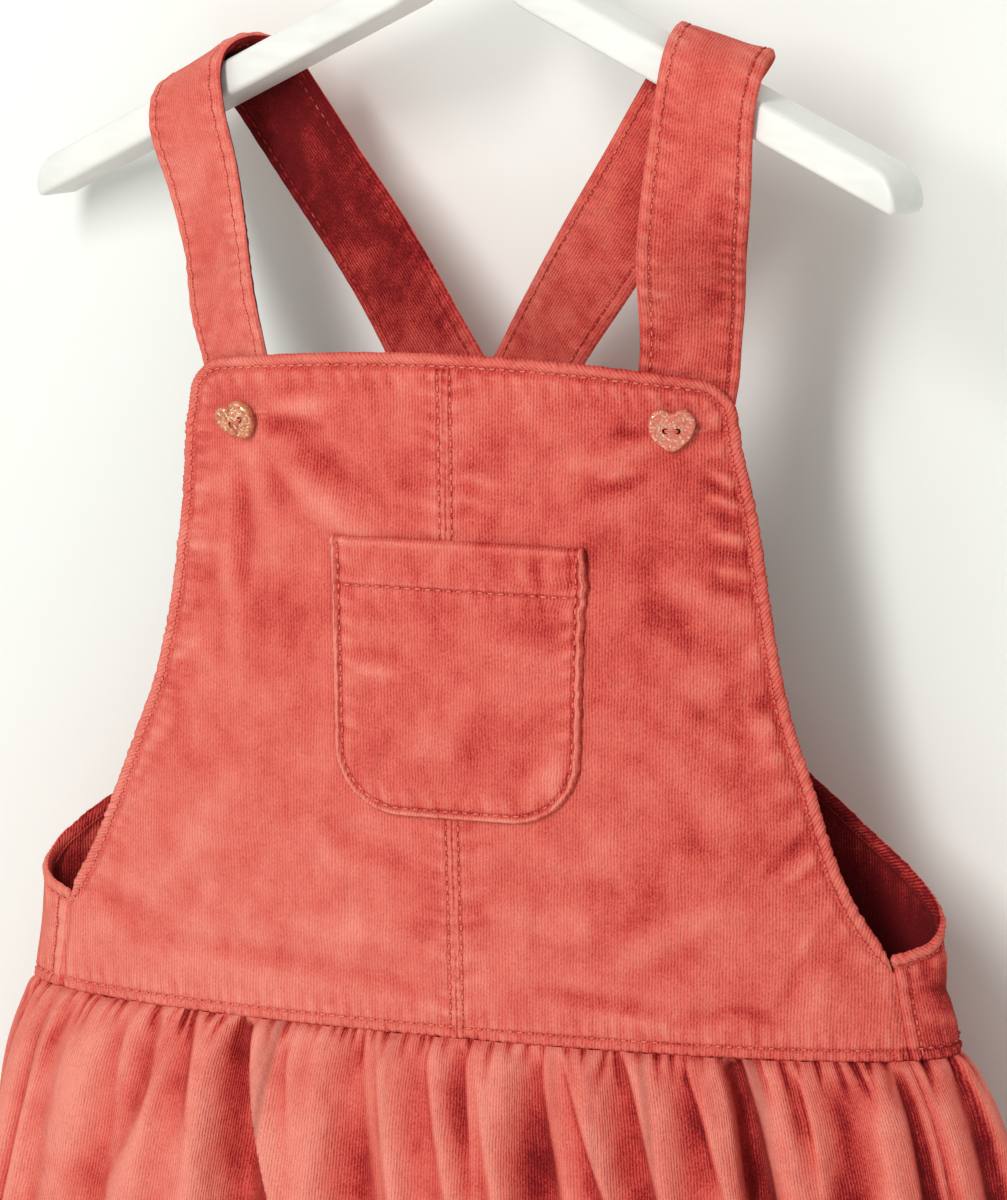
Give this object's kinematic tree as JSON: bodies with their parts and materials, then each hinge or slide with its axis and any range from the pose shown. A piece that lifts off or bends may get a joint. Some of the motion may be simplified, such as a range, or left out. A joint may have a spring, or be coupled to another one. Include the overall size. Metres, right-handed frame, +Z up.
{
  "type": "pinafore dress on a hanger",
  "caption": "Child's coral corduroy pinafore dress with a bib pocket, crossed back straps, heart buttons and a gathered skirt, hanging on a plain white hanger.",
  "frame": {"origin": "inside top of the hanger's hook, where the rail carries it", "axes": "+Z up, the dress's front faces -Y, +X to the right of someone looking at its front"},
  "size_m": [0.4113, 0.1227, 0.6301],
  "materials": {
    "corduroy": "fine-wale cotton corduroy, coral, soft nap",
    "binding": "bias-cut corduroy binding, coral",
    "glitter": "rose-gold glitter resin",
    "white_paint": "satin white paint on wood",
    "steel": "polished wire"
  },
  "bodies": {
    "root": {"front_left": "corduroy", "front_right": "corduroy", "bib_edge": "binding", "back_bodice": "corduroy", "back_edge": "binding", "strap_left": "corduroy", "strap_right": "corduroy", "pocket": "corduroy", "skirt_front": "corduroy", "skirt_back": "corduroy", "button_left": "glitter", "button_right": "glitter", "hanger_bar": "white_paint", "hanger_hook": "steel"}
  },
  "joints": []
}
